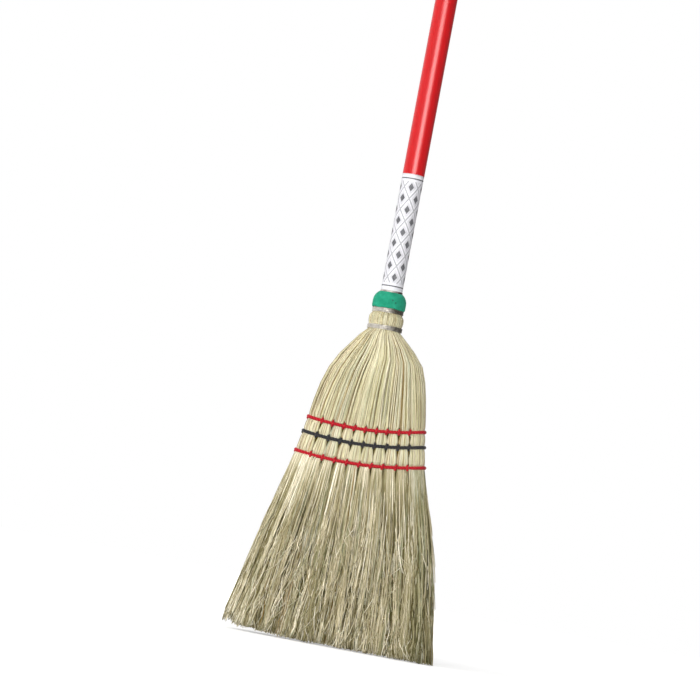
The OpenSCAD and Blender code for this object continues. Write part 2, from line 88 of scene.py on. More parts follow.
# a new material whose surface shader has these plain values; the caller links the rest
def newMaterial(name, **values):
    material = bpy.data.materials.new(name)
    material.use_nodes = True
    surface = material.node_tree.nodes["Principled BSDF"]
    for key, value in values.items():
        surface.inputs[key.replace("_", " ")].default_value = value
    return material, material.node_tree, surface


# a place in the object's own space
def ownPlace(tree):
    return addNode(tree, "TexCoord").outputs["Object"]


# the number of this name that the mesh carries at each point
def pointMark(tree, name):
    return addNode(tree, "Attribute", attribute_name=name).outputs["Fac"]


# noise with grains of this size in mm
def addNoise(tree, place, grain, detail):
    size = 1 / (grain * mm)
    return addNode(tree, "TexNoise", {"Vector": place, "Scale": size, "Detail": detail}).outputs["Fac"]


# a value carried from one span to another in a straight line, and held at the ends
def addRange(tree, value, span=(0.0, 1.0), result=(0.0, 1.0), **settings):
    ends = {"From Min": span[0], "From Max": span[1], "To Min": result[0], "To Max": result[1]}
    return addNode(tree, "MapRange", {"Value": value, **ends}, **settings).outputs[0]


# one operation on up to three values
def addMath(tree, operation, *values, **settings):
    return addNode(tree, "Math", dict(enumerate(values)), operation=operation, **settings).outputs[0]


# the colour that a ramp of stops has at this value
def addRamp(tree, value, stops):
    return addNode(tree, "ValToRGB", {"Fac": value}, stops).outputs["Color"]


# a colour mixed with a second one, which is given as hex, by a factor
def addMix(tree, factor, first, second):
    return addNode(tree, "Mix", {0: factor, 6: first, 7: hexColour(second)}, data_type="RGBA").outputs[2]


# gives the surface its colour and, where there is a height, a bump of this strength and depth in mm
def dress(tree, surface, colour, height=None, strength=0.0, depth=0.0):
    tree.links.new(colour, surface.inputs["Base Color"])
    if height is not None:
        bump = addNode(tree, "Bump", {"Height": height, "Strength": strength, "Distance": depth * mm})
        tree.links.new(bump.outputs[0], surface.inputs["Normal"])


# puts points (mm) and sets of faces into a mesh, with one number a point for each mark
def meshPiece(name, points, faceSets, material, marks=None):
    counts = np.concatenate([np.full(len(f), f.shape[1]) for f in faceSets])
    corners = np.concatenate([f.ravel() for f in faceSets])
    mesh = bpy.data.meshes.new(name)
    mesh.vertices.add(len(points))
    mesh.vertices.foreach_set("co", (points * mm).astype(np.float32).ravel())
    mesh.loops.add(len(corners))
    mesh.loops.foreach_set("vertex_index", corners.astype(np.int32))
    mesh.polygons.add(len(counts))
    mesh.polygons.foreach_set("loop_start", np.r_[0, np.cumsum(counts)[:-1]].astype(np.int32))
    mesh.polygons.foreach_set("use_smooth", np.ones(len(counts), bool))
    for mark, values in (marks or {}).items():
        data = mesh.attributes.new(mark, "FLOAT", "POINT").data
        data.foreach_set("value", values.astype(np.float32).ravel())
    mesh.update(calc_edges=True)
    mesh.validate()
    mesh.materials.append(material)
    piece = bpy.data.objects.new(name, mesh)
    scene.collection.objects.link(piece)
    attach(piece, "root")
    return piece


# faces of many tubes at once: rings of points joined by squares, and a face over each end
def tubeFaces(tubes, rings, sides):
    first = np.arange(tubes * rings * sides).reshape(tubes, rings, sides)
    after = np.roll(first, -1, 2)
    walls = np.stack([first[:, :-1], after[:, :-1], after[:, 1:], first[:, 1:]], -1)
    return [walls.reshape(-1, 4), np.concatenate([first[:, 0, ::-1], first[:, -1]])]


# length run along a path up to each of its points
def runLength(path):
    return np.r_[0, np.cumsum(np.linalg.norm(np.diff(path, axis=0), axis=1))]


# foot, top and outer radius of a CAD node that goes round the handle, in mm
def roundBox(name):
    low, high = (np.array(corner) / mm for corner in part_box(name))
    return low[2], high[2], (high[0] - low[0]) / 2


# cubic curve through one column of a table by height, with each slope taken between the two neighbours
def tableCurve(table, column, z):
    height, value = table[:, 0], table[:, column]
    low = np.maximum(np.arange(len(height)) - 1, 0)
    high = np.minimum(np.arange(len(height)) + 1, len(height) - 1)
    slope = (value[high] - value[low]) / (height[high] - height[low])
    i = np.clip(np.searchsorted(height, z, side="right") - 1, 0, len(height) - 2)
    step = height[i + 1] - height[i]
    k = (z - height[i]) / step
    return (value[i] * (2 * k**3 - 3 * k**2 + 1) + value[i + 1] * (3 * k**2 - 2 * k**3)
            + slope[i] * step * (k**3 - 2 * k**2 + k) + slope[i + 1] * step * (k**3 - k**2))


# half-width, half-depth and squareness by height: round above the lower wire, the neck's bends averaged
def sectionAt(z):
    table, neck, bend = headForm["table"], headForm["neck"], headForm["neckBend"]
    below = np.minimum(z, table[-1, 0])
    radius = sum(np.interp(z + step, neck[:, 0], neck[:, 1]) for step in (-bend, 0, bend)) / 3
    inNeck = z > table[-1, 0]
    width, depth, power = (tableCurve(table, c, below) for c in (1, 2, 3))
    return np.where(inNeck, radius, width), np.where(inNeck, radius, depth), np.where(inNeck, 2, power)


# x leans to one side by height, and z is lifted by the rows' bow and skew, by share of the half-width
def leanAndLift(x, y, z, width):
    share = x / width
    bow, lean = np.interp(z, *headForm["bowShare"]), np.interp(z, *headForm["lean"])
    return np.stack([x + lean, y, z + bow * (headForm["bow"] * share**2 + headForm["skew"] * share)], -1)


# point of the head: k runs -1 to 1 along one side of a superellipse, and inset goes inwards
def headPoint(z, side, k, inset):
    width, depth, power = sectionAt(z)
    u = np.clip(k * 0.5 ** (1 / power), -headForm["furthest"], headForm["furthest"])
    v = (1 - np.abs(u) ** power) ** (1 / power)
    flat = side in (front, back)
    along = u * (width if flat else depth)
    out = v * (depth if flat else width) - inset
    x, y = {front: (along, -out), right: (out, along), back: (-along, out), left: (-out, -along)}[side]
    return leanAndLift(x, y, z, width)


# broom corn: blotches in mm and their tones, saturation by shade, so that painted shade and dark stems come
# out olive and pale ones bleached, and strength and depth of the bump
cornLook = dict(
    blotch=26, blotchTones=(0.92, 1.06), shades=(0.2, 1.4), saturations=(1.8, 0.66), bump=(0.25, 0.2))


# dry stems with a waxy skin, cream to straw, with green, tan and brown ones among them: dye times shade,
# and shade = streaks along the stem times blotches times the tone each point carries, own tone and painted
# shade
def cornMaterial(name, stops, streakMm, streakLength, streakTones, **values):
    material, tree, surface = newMaterial(name, **values)
    place = ownPlace(tree)
    along = addNode(tree, "Mapping", {"Vector": place, "Scale": (1, 1, streakMm / streakLength)}).outputs[0]
    streak = addNoise(tree, along, streakMm, 3.0)
    light = addRange(tree, streak, noiseSpan, streakTones)
    cloud = addRange(tree, addNoise(tree, place, cornLook["blotch"], 2.0), noiseSpan, cornLook["blotchTones"])
    shade = addMath(tree, "MULTIPLY", addMath(tree, "MULTIPLY", light, cloud), pointMark(tree, "tone"))
    deep = addRange(tree, shade, cornLook["shades"], cornLook["saturations"])
    dye = addRamp(tree, pointMark(tree, "hue"), stops)
    dye = addNode(tree, "HueSaturation", {"Saturation": deep, "Color": dye}).outputs["Color"]
    colour = addNode(tree, "VectorMath", {0: dye, "Scale": shade}, operation="SCALE")
    dress(tree, surface, colour.outputs[0], streak, *cornLook["bump"])
    return material


stemCorn = cornMaterial(
    "BroomCornStem", [
        (0.0, "#F3ECC9"), (0.3, "#F0E9CE"), (0.48, "#EAE5B9"), (0.64, "#DBDEC3"), (0.8, "#E4D8BD"),
        (1.0, "#C6AE84")],
    0.8, 16, (0.86, 1.12), Roughness=0.5, Specular_IOR_Level=0.3)
brushCorn = cornMaterial(
    "BroomCornBrush", [
        (0.0, "#E9DFC1"), (0.25, "#DDD3B4"), (0.45, "#CEC5A5"), (0.6, "#BEB896"), (0.72, "#A8AA88"),
        (0.82, "#CFCAB5"), (0.92, "#C9B38F"), (1.0, "#AD9B78")],
    0.9, 16, (0.8, 1.18), Roughness=0.6, Specular_IOR_Level=0.2)
# dark olive for the packed corn inside the head: painted shade
packedCornInShade = cornMaterial(
    "BroomCornPackedInShade", [(0.0, "#7E7448"), (1.0, "#5E5636")],
    1.5, 20, (0.8, 1.1), Roughness=0.8, Specular_IOR_Level=0.1)

# what a row of sewing does to the corn, mm: how far its pull reaches below and above, how wide its groove is,
# and at the seams between bundles their depth, their shade, and how much of a bundle is drawn in
sewingForm = dict(pullBelow=12, pullAbove=3, groove=2.6, seamDepth=0.9, seamShade=0.8, drawn=0.3)


# how tight the bundles are: 1 at a row, fading below and above it
def stitchPull(z):
    drop = np.stack([row - z for row in headForm["rows"]])
    below = np.clip(1 - drop / sewingForm["pullBelow"], 0, 1)
    above = np.clip(1 + drop / sewingForm["pullAbove"], 0, 1)
    return np.where(drop >= 0, below, above).max(0)


# the groove that the twine draws round the head: a bell curve at each row
def rowGroove(z):
    wide = sewingForm["groove"]
    return headForm["bite"] * sum(np.exp(-((z - row) / wide) ** 2) for row in headForm["rows"])


# k drawn to the middle of its bundle by the pull, the inset of groove and seams, and the shade in the seams
def sewn(k, z):
    pitch = 2 * headForm["lastStitch"] / headForm["bundles"]
    place = k / pitch
    middle = np.floor(place) + 0.5
    pull = stitchPull(z)
    edge = np.abs(place - middle) * 2
    inset = rowGroove(z) + sewingForm["seamDepth"] * edge**6 * np.clip(pull * 1.4, 0, 1)
    shade = 1 - sewingForm["seamShade"] * pull * edge**6
    return k + (middle - place) * sewingForm["drawn"] * pull**1.3 * pitch, inset, shade


# the left corner of the cut is worn away, mm: 4 over x = -34 to -84, and steeply 12 more over x = -90 to -106
def cornerWear(x):
    return 4 * np.clip((-x - 34) / 50, 0, 1) + 12 * np.clip((-x - 90) / 16, 0, 1) ** 1.3


# stems above the sewing, mm: heights of their rings, radii and taper by height, layers with depth and tones,
# deeper ones painted darker as shade, one thin fibre in every few painted dark as a line of shadow, wild ones
# that cross the others, insets of outer and inner ones at the neck, and by height the contrast among stems
# and the painted shade of all
stemSet = dict(
    heights=np.array([
        182.6, 188, 193, 198, 203, 208, 213, 218, 224, 238, 256, 274, 290, 303, 312, 319,
        321.5, 324, 325.5, 327, 328.5, 331, 333, 334.5, 336, 338, 342, 347]),
    radius=(0.42, 0.66), thinRadius=(0.3, 0.42),
    taper=([182, 260, 300, 319, 347], [1, 0.96, 0.84, 0.66, 0.62]),
    layers=3, layerDepth=0.7, layerTones=np.array([1, 0.94, 0.8]), tones=(0.94, 1.06), neckTones=(0.94, 1.1),
    every=4, shadowLineTone=0.38, shadowLineNeckTone=0.42, wildShare=0.1, wildDrift=6, drift=0.014, sway=0.016, flare=100,
    neckFrom=292, neckOver=28, outerShare=0.7, outer=(0, 0.3), inner=(0.5, 1.8),
    contrast=([214, 228], [0.3, 1]),
    fade=([182, 214, 224, 250, 290, 310, 335, 347], [1.02, 1.03, 0.94, 0.9, 1.01, 1.0, 0.9, 0.87]))


# stems from the collar to the lowest row: spread along a side in layers, thin ones painted dark between as
# lines of shadow, some across
def stemLines(side, across, reach):
    c, z = stemSet, stemSet["heights"][None]
    layer = np.repeat(np.arange(c["layers"]), across)
    count = len(layer)
    at = np.arange(count)
    spread = (at % across + rng.uniform(0.2, 0.8, count)) / across
    k = (2 * spread - 1) * reach
    every = c["every"]
    shadowLine = (at % every == rng.integers(0, every, count)[at // every]) & (layer < 1)
    shadowLine = shadowLine & (rng.uniform(0, 1, count) < 0.75 + 0.25 * k**2)
    radius = np.where(shadowLine, rng.uniform(*c["thinRadius"], count), rng.uniform(*c["radius"], count))
    up = (z - headForm["rows"][-1]) / c["flare"]
    wild = (layer == 0) & (rng.uniform(0, 1, count) < c["wildShare"] + c["wildShare"] * (k > 0.2))
    drift = np.where(wild, c["wildDrift"], 1) * rng.normal(0, c["drift"], count)
    kLine = k[:, None] + drift[:, None] * np.maximum(up, 0) * (1.1 - up) * 2
    kLine = kLine + rng.normal(0, c["sway"], count)[:, None] * up**2
    bodyInset = layer * c["layerDepth"] + rng.uniform(0, 0.5, count) * ~shadowLine - wild * 0.3
    outer = rng.uniform(0, 1, count) < c["outerShare"]
    neckInset = np.where(outer, rng.uniform(*c["outer"], count), rng.uniform(*c["inner"], count)) * ~shadowLine
    atNeck = np.clip((z - c["neckFrom"]) / c["neckOver"], 0, 1)
    inset = bodyInset[:, None] + (neckInset - bodyInset)[:, None] * atNeck
    # painted shade in the seams between bundles, 1 where there is no sewing
    groove, paintedSeamShade = rowGroove(z), 1.0
    if side in (front, back):
        kLine, groove, paintedSeamShade = sewn(kLine, z + 0 * kLine)
    radii = radius[:, None] * np.interp(z, *c["taper"])
    lines = headPoint(z + 0 * kLine, side, kLine, inset + groove + radii)
    shadowLineHue = rng.uniform(0.8, 1, count)
    hue = np.where(shadowLine, shadowLineHue, np.clip(rng.beta(1.3, 2.2, count) + 0.1 * np.sin(k * 9), 0, 1))
    # painted shade: deeper layers darker, thin fibres dark as lines of shadow, then the seams' shade and a
    # shade by height
    tone = rng.uniform(*c["tones"], count) * c["layerTones"][layer] * np.where(shadowLine, c["shadowLineTone"], 1)
    neckTone = rng.uniform(*c["neckTones"], count) * np.where(shadowLine, c["shadowLineNeckTone"], 1)
    tone = tone[:, None] + (neckTone - tone)[:, None] * atNeck
    broken = np.where(shadowLine[:, None], rng.uniform(0.2, 1.25, tone.shape), 1)
    tone = 1 + (tone - 1) * broken * np.interp(z, *c["contrast"])
    return lines, radii, hue, tone * np.interp(z, *c["fade"]) * paintedSeamShade


# locks of fibres below the sewing, mm: the height they hang from, drifts along k, heights of tips; by share
# of the fall rings, width and swell of a lock, kinks and taper of fibres, wedges under the stitches with
# painted shade, thin fibres painted dark as lines of shadow, contrast, and painted shade that pales towards
# the tips; the dark lock, and frayed pale tips at the left
lockSet = dict(
    top=184.6, shares=np.r_[0, 0.04, np.linspace(0.1, 1, 16)], radius=(0.46, 0.74), ridge=1.8, narrow=1.7,
    jitter=0.4, drift=0.045, fibreDrift=0.03, tips=(0, 4), tipSpread=0.7, shortShare=0.1, shortTips=(6, 80),
    looseness=(0, 0.8), rough=0.2, hueSpread=0.14, edgeShade=0.48, mottle=0.1, wear=(0.6, 1.25),
    width=([0, 0.1, 0.35, 0.8, 1], [1.2, 1.15, 0.98, 0.84, 0.98]),
    swell=([0, 0.1, 0.35, 0.8, 1], [0, 0.2, 1, 1, 0.5]),
    kink=([0, 0.1, 0.5, 1], [0, 0.0015, 0.008, 0.012]), taper=([0, 0.3, 1], [1.15, 1, 0.75]),
    wedge=([0, 0.1, 0.4], [1, 0.9, 0]), wedgeDepth=1.2, wedgeShade=0.6,
    thinShare=0.2, thinInset=0.3, thinRadius=0.82, shadowLineTones=([0.01, 0.08, 0.5], [0.9, 0.58, 0.3]),
    tones=(0.58, 1.28), lockTones=(0.84, 1.08), contrast=([0, 0.03, 0.28], [0.3, 0.42, 1]),
    fade=([0, 0.12, 0.35, 0.6, 0.8, 0.93, 1], [1.3, 1.44, 1.32, 1.16, 1.22, 1.32, 1.55]), palest=1.45,
    dark=dict(x=84, half=16, top=110, over=30, shade=0.36),
    fray=dict(x=-88, over=12, top=34, rise=20, pale=0.5))


# each lock narrows, drifts on its way down and opens at the tips; its outer fibres lie deeper and are painted
# darker as shade
def lockLines(side, reach, locks, each, dark, shift, depth, level):
    c, share = lockSet, lockSet["shares"][None]
    lockK = (np.linspace(-1, 1, locks) + shift / locks + rng.normal(0, c["jitter"] / locks, locks)) * reach
    wander = 1 if side in (front, back) else c["narrow"]  # a step of k is shorter on the narrow sides
    drift, depths = rng.normal(0, c["drift"] * wander, locks), rng.uniform(*depth, locks)
    lockTone = rng.uniform(*c["lockTones"], locks)
    lockHue, lockTip = rng.normal(0, c["hueSpread"], locks), rng.uniform(*c["tips"], locks)
    mine = np.repeat(np.arange(locks), each)
    count = locks * each
    offset, shadowLine = rng.uniform(-1, 1, (count, 1)), rng.uniform(0, 1, (count, 1)) < c["thinShare"]
    swell = np.interp(share, *c["swell"])
    kLine = lockK[mine][:, None] + offset * np.interp(share, *c["width"]) / locks
    kLine = kLine + (drift[mine] + rng.normal(0, c["fibreDrift"] * wander, count))[:, None] * share**1.7
    kLine = kLine + rng.normal(0, 1, (count, share.shape[1])) * (np.interp(share, *c["kink"]) * wander)
    tip = lockTip[mine] + np.abs(rng.normal(0, c["tipSpread"], count))
    tip = np.where(rng.uniform(0, 1, count) < c["shortShare"], rng.uniform(*c["shortTips"], count), tip)
    z = c["top"] + (tip[:, None] - c["top"]) * share
    inset = depths[mine][:, None] * swell + c["ridge"] * offset**2 * swell
    inset = inset + rng.uniform(*c["looseness"], (count, 1)) + rng.normal(0, c["rough"], z.shape) * share
    inset = np.maximum(inset, 0) * np.where(shadowLine, c["thinInset"], 1)
    groove, paintedSeamShade = rowGroove(z), 1.0
    if side in (front, back):
        place = kLine[:, :1] / headForm["lastStitch"] / 2 * headForm["bundles"]
        edge = np.abs(place % 1 - 0.5) * 2
        wedge = edge**6 * np.interp(share, *c["wedge"])
        kLine, groove, paintedSeamShade = sewn(kLine, z)
        # painted shade also in the wedges under the stitches
        groove, paintedSeamShade = groove + c["wedgeDepth"] * wedge * (share > 0.05), paintedSeamShade * (1 - c["wedgeShade"] * wedge)
    radii = rng.uniform(*c["radius"], (count, 1)) * np.where(shadowLine, c["thinRadius"], 1)
    radii = radii * np.interp(share, *c["taper"])
    lines = headPoint(z, side, kLine, inset + groove + radii)
    lines[..., 2] += cornerWear(lines[:, -1:, 0]) * share**2 * rng.uniform(*c["wear"], (count, 1))
    x, shadow, fray = lines[..., 0], c["dark"], c["fray"]
    murky = np.clip(1 - np.abs(x - shadow["x"]) / shadow["half"], 0, 1)
    murky = murky * np.clip((shadow["top"] - z) / shadow["over"], 0, 1) * dark
    hue = np.clip(rng.beta(1.7, 2.4, count) * 0.9 + lockHue[mine], 0, 1)
    hue = np.where(murky.max(1) > 0.5, 0.5 * hue + 0.36, hue)
    tone = rng.uniform(*c["tones"], count) * lockTone[mine]
    tone = 1 + (tone[:, None] * level - 1) * np.interp(share, *c["contrast"])
    tone = tone * np.where(shadowLine, np.interp(share, *c["shadowLineTones"]), 1)
    tone = tone * (1 - c["edgeShade"] * offset**2 * swell) * (1 - shadow["shade"] * murky) * paintedSeamShade
    tone = tone * (1 + rng.normal(0, c["mottle"], z.shape) * np.clip(share * 4, 0, 1))
    frayed = np.clip((fray["x"] - x) / fray["over"], 0, 1) * np.clip((fray["top"] - z) / fray["rise"], 0, 1)
    tone = tone * np.interp(share, *c["fade"]) * (1 + fray["pale"] * frayed)
    return lines, radii, hue, np.minimum(tone, c["palest"])


# fibres behind the locks, painted dark as shade, mm: heights of tips, drift along k and furthest k, and by
# share of the fall their rings, how deep they lie, and their painted shade, paler at the tips
underSet = dict(
    shares=np.r_[0, 0.05, np.linspace(0.2, 1, 5)], radius=(0.4, 0.6), shallow=2.6, tones=(0.14, 0.32),
    tips=(1.5, 6), drift=0.02, furthestK=1.06,
    sink=([0, 0.1, 0.3, 1], [0.5, 0.7, 1, 1]), fade=([0, 0.1, 0.8, 0.94, 1], [1.3, 1, 1, 1.1, 1.6]))


# under fibres: spread evenly along the side and over the depth
def underLines(side, count, deepest):
    c, share = underSet, underSet["shares"][None]
    k = rng.uniform(-c["furthestK"], c["furthestK"], (count, 1))
    depth = rng.uniform(c["shallow"], deepest, (count, 1))
    kLine = k + rng.normal(0, c["drift"], (count, 1)) * share**1.6
    z = lockSet["top"] + (rng.uniform(*c["tips"], (count, 1)) - lockSet["top"]) * share
    inset = depth * np.interp(share, *c["sink"])
    groove, paintedSeamShade = rowGroove(z), 1.0
    if side in (front, back):
        kLine, groove, paintedSeamShade = sewn(kLine, z)
    radii = rng.uniform(*c["radius"], (count, 1)) + 0 * share
    lines = headPoint(z, side, kLine, inset + groove + radii)
    lines[..., 2] += cornerWear(lines[:, -1:, 0]) * share**2
    tone = rng.uniform(*c["tones"], (count, 1)) * np.interp(share, *c["fade"]) * paintedSeamShade
    return lines, radii, rng.uniform(0.1, 1, count), tone


# tufts and single fibres over the locks, mm: radius and taper, the spread of a tuft along k and in height,
# the range of k at the start and later, the inset of tufts and of single ones, how far they arch, and how low
# they come
tuftSet = dict(
    radius=(0.36, 0.54), taper=([0, 0.5, 1], [1, 1, 0.7]), spread=0.016, heightSpread=8, startK=0.97,
    furthestK=1.12, kink=0.005, tuftInset=1.2, singleInset=0.4, looseness=(0, 0.6), arch=1.4, lowest=(0.4, 3),
    tones=(0.62, 1.14), hueSpread=0.06, mottle=0.08)


# strands that lie over the others: start and drop in height, drift along the side, range of tone, lift off it
def tuftLines(side, tufts, each, start, drop, drift, tones, lift=0):
    c, single = tuftSet, each == 1
    share = (underSet if single else lockSet)["shares"][None]
    mine = np.repeat(np.arange(tufts), each)
    count = tufts * each
    spread, heightSpread = (0, 0) if single else (c["spread"], c["heightSpread"])
    k = rng.uniform(-c["startK"], c["startK"], tufts)[mine] + rng.normal(0, spread, count)
    top = rng.uniform(*start, tufts)[mine] + rng.normal(0, heightSpread, count)
    fall = rng.uniform(*drop, tufts)[mine] + rng.normal(0, heightSpread, count)
    z = np.maximum(top[:, None] - fall[:, None] * share, rng.uniform(*c["lowest"], (count, 1)))
    turn = rng.normal(0, drift, tufts)[mine] + rng.normal(0, spread, count)
    kLine = k[:, None] + turn[:, None] * share**1.5 + rng.normal(0, c["kink"], z.shape) * share
    kLine = np.clip(kLine, -c["furthestK"], c["furthestK"])
    radii = rng.uniform(*c["radius"], (count, 1)) * np.interp(share, *c["taper"])
    rise = c["arch"] * np.sin(np.pi * share * 0.9) + rng.uniform(0, lift, tufts)[mine][:, None] * share**2
    inset = radii + c["singleInset" if single else "tuftInset"] + rng.uniform(*c["looseness"], (count, 1))
    lines = headPoint(z, side, kLine, inset - rise)
    lines[..., 2] += cornerWear(lines[:, -1:, 0]) * share**2
    hue = np.clip(rng.beta(1.4, 2.6, tufts)[mine] + rng.normal(0, c["hueSpread"], count), 0, 1)
    tone = rng.uniform(*tones, tufts)[mine] * rng.uniform(*c["tones"], count)
    return lines, radii, hue, tone[:, None] * (1 + rng.normal(0, c["mottle"], z.shape))


# several sets of strands as one
def joined(sets):
    return [np.concatenate(each) for each in zip(*sets)]


# three-sided tubes with level rings round each line, listed upwards; hue and tone go with every point
def strandPiece(name, lines, radii, hue, tone, material):
    if lines[0, 0, 2] > lines[0, -1, 2]:
        lines, radii, tone = lines[:, ::-1], radii[:, ::-1], tone[:, ::-1]
    count, rings = radii.shape
    turn = rng.uniform(0, 2 * np.pi, count)[:, None, None] + np.arange(3) * 2 * np.pi / 3
    ring = np.stack([np.cos(turn), np.sin(turn), 0 * turn], -1)
    points = lines[:, :, None] + radii[:, :, None, None] * ring
    marks = dict(hue=np.broadcast_to(hue[:, None, None], points.shape[:3]),
                 tone=np.broadcast_to(tone[:, :, None], points.shape[:3]))
    return meshPiece(name, points.reshape(-1, 3), tubeFaces(count, rings, 3), material, marks)


# what faces and edges carry: stems across and how far they reach, locks and fibres in each, under fibres and
# their depth, tufts, single strays, strays that cross near the cut, wisps and their lift, and the dark lock
faceSet = dict(
    stems=150, reach=1.12, locks=46, each=12, under=1700, deepest=10, tufts=52, strays=90, crossing=320,
    wisps=0, lift=0)
edgeSet = dict(
    stems=46, reach=1.0, locks=22, each=12, under=700, deepest=17, tufts=16, strays=20, crossing=50)
sides = dict(
    front=dict(faceSet, side=front, node="front_cover_corn", dark=1),
    back=dict(faceSet, side=back, node="back_cover_corn", dark=0),
    left=dict(edgeSet, side=left, node="left_shoulder_corn", dark=0, wisps=10, lift=2),
    right=dict(edgeSet, side=right, node="right_shoulder_corn", dark=1, wisps=18, lift=3))
# the two layers of locks, the second staggered, deeper and painted darker as shade; and the kinds of tufts
# and single strands
lockLayers = [dict(shift=0, depth=(0, 1.4), level=1.04), dict(shift=1, depth=(1.8, 3.8), level=0.62)]
tuftKinds = dict(
    tufts=dict(each=6, start=(60, 172), drop=(50, 120), drift=0.06, tones=(0.8, 1.15)),
    strays=dict(each=1, start=(110, 182), drop=(60, 110), drift=0.06, tones=(0.85, 1.2)),
    crossing=dict(each=1, start=(14, 130), drop=(12, 34), drift=0.1, tones=(0.7, 1.4)),
    wisps=dict(each=1, start=(60, 160), drop=(32, 60), drift=0.1, tones=(1, 1.2)))
for word, s in sides.items():
    way = s["side"]
    brush = [lockLines(way, s["reach"], s["locks"], s["each"], s["dark"], **layer) for layer in lockLayers]
    brush.append(tuftLines(way, s["tufts"], **tuftKinds["tufts"]))
    loose = [tuftLines(way, s["strays"], **tuftKinds["strays"]),
             tuftLines(way, s["crossing"], **tuftKinds["crossing"]),
             tuftLines(way, s["wisps"], lift=s["lift"], **tuftKinds["wisps"])]
    pieces = [strandPiece(word + "_stems", *stemLines(way, s["stems"], s["reach"]), stemCorn),
              strandPiece(word + "_under_brush", *underLines(way, s["under"], s["deepest"]), brushCorn),
              strandPiece(word + "_brush", *joined(brush), brushCorn),
              strandPiece(word + "_loose_fibres", *joined(loose), brushCorn)]
    for piece in pieces:
        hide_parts(s["node"])
print("strands laid")

# the inner corn in mm: packed stems as one body inside the cover, and loose ends that fill the cut, both
# painted dark as shade, the ends darker further in
innerCorn = dict(
    heights=np.r_[22, np.linspace(40, 320, 29), 330, 345], inset=([60, 170, 190], [8.0, 8.0, 3.0]), around=96,
    tone=0.6, ends=2400, endWide=0.97, endDeep=0.93, endFoot=(1.5, 6), endTop=46, endRadius=(0.55, 0.85),
    endTaper=(0.8, 1, 1), endWear=(1, 0.3, 0), endTones=(0.5, 0.9), endFade=(1, 0.5, 0.4))


# loft round the axis: superellipse sections shrunk by the inset, closed by a point at each end
def packedPiece(c):
    z = c["heights"][:, None]
    angle = np.linspace(0, 2 * np.pi, c["around"], endpoint=False)[None]
    width, depth, power = sectionAt(z + 0 * angle)
    inset = np.interp(z, *c["inset"])
    cos, sin = np.cos(angle), np.sin(angle)
    reach = (np.abs(cos) ** power + np.abs(sin) ** power) ** (-1 / power)
    rings = leanAndLift((width - inset) * reach * cos, (depth - inset) * reach * sin, z + 0 * angle, width)
    caps = np.array([[0, 0, c["heights"][0]], [0, 0, c["heights"][-1]]])
    n, m = rings.shape[:2]
    walls = tubeFaces(1, n, m)[0]
    k = np.arange(m)
    low = np.stack([np.full(m, n * m), np.roll(k, -1), k], -1)
    high = np.stack([np.full(m, n * m + 1), (n - 1) * m + k, (n - 1) * m + np.roll(k, -1)], -1)
    points = np.concatenate([rings.reshape(-1, 3), caps])
    hue = rng.uniform(0, 1, len(points))
    return meshPiece("packed_corn", points, [walls, np.concatenate([low, high])], packedCornInShade,
                     dict(hue=hue, tone=c["tone"] + 0 * hue))


# ends spread evenly over the cut: a share of the half-width, and a share of the half-depth there
def endLines(c):
    n = c["ends"]
    u = rng.uniform(-c["endWide"], c["endWide"], (n, 1))
    v = rng.uniform(-c["endDeep"], c["endDeep"], (n, 1))
    upper = np.tile([c["endTop"] / 2, c["endTop"]], (n, 1))
    z = np.concatenate([rng.uniform(*c["endFoot"], (n, 1)), upper], 1)
    width, depth, power = sectionAt(z)
    lines = leanAndLift(u * width, v * depth * (1 - np.abs(u) ** power) ** (1 / power), z, width)
    lines[..., 2] += cornerWear(lines[:, :1, 0]) * c["endWear"]
    radii = rng.uniform(*c["endRadius"], (n, 1)) * c["endTaper"]
    return lines, radii, rng.beta(2, 2, n), rng.uniform(*c["endTones"], (n, 1)) * c["endFade"]


for piece in (packedPiece(innerCorn), strandPiece("inner_brush", *endLines(innerCorn), brushCorn)):
    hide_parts("inner_corn")
print("inner corn packed")


# tube along a path: normal = guide less its part along the path; lobes of a twist turn with the length run
def tubePiece(name, path, radii, guide, around, material, plies=0, layMm=1.0, dent=0.0):
    run = np.gradient(path, axis=0)
    run /= np.linalg.norm(run, axis=1, keepdims=True)
    normal = guide - (guide * run).sum(1, keepdims=True) * run
    normal /= np.linalg.norm(normal, axis=1, keepdims=True)
    across = np.cross(run, normal)
    length = runLength(path)[:, None]
    angle = np.arange(around)[None] * 2 * np.pi / around
    crest = np.cos(plies * (angle - 2 * np.pi * length / layMm)) if plies else np.zeros((len(path), around))
    reach = radii[:, None] * (1 + dent * (crest - 1))
    points = path[:, None] + reach[..., None] * (
        np.cos(angle)[..., None] * normal[:, None] + np.sin(angle)[..., None] * across[:, None])
    faces = tubeFaces(1, len(path), around)
    return meshPiece(name, points.reshape(-1, 3), faces, material, dict(crest=crest))


# soft galvanised binding wire: drawn steel with a dull zinc skin, browned by damp in blotches, and painted
# dark brown towards the right as shade
def wireMaterial():
    material, tree, surface = newMaterial("GalvanisedWire", Metallic=0.7)
    place = ownPlace(tree)
    zinc = addRamp(tree, addNoise(tree, place, 2.2, 3.0), [(0.3, "#BDB8AF"), (0.7, "#E4DED5")])
    x = addNode(tree, "SeparateXYZ", {0: place}).outputs["X"]
    # painted shade: the right side, away from the key lamp, is mixed towards dark brown
    paintedShadeRight = addRange(tree, x, (-1 * mm, 11 * mm), (0.0, 0.5))
    dampAndShade = addMath(tree, "ADD", addNoise(tree, place, 9, 2.0), paintedShadeRight)
    dress(tree, surface, addMix(tree, addRange(tree, dampAndShade, (0.5, 0.95), (0.0, 0.9)), zinc, "#3C3428"))
    tree.links.new(addRange(tree, dampAndShade, result=(0.3, 0.6)), surface.inputs["Roughness"])
    return material


galvanised = wireMaterial()

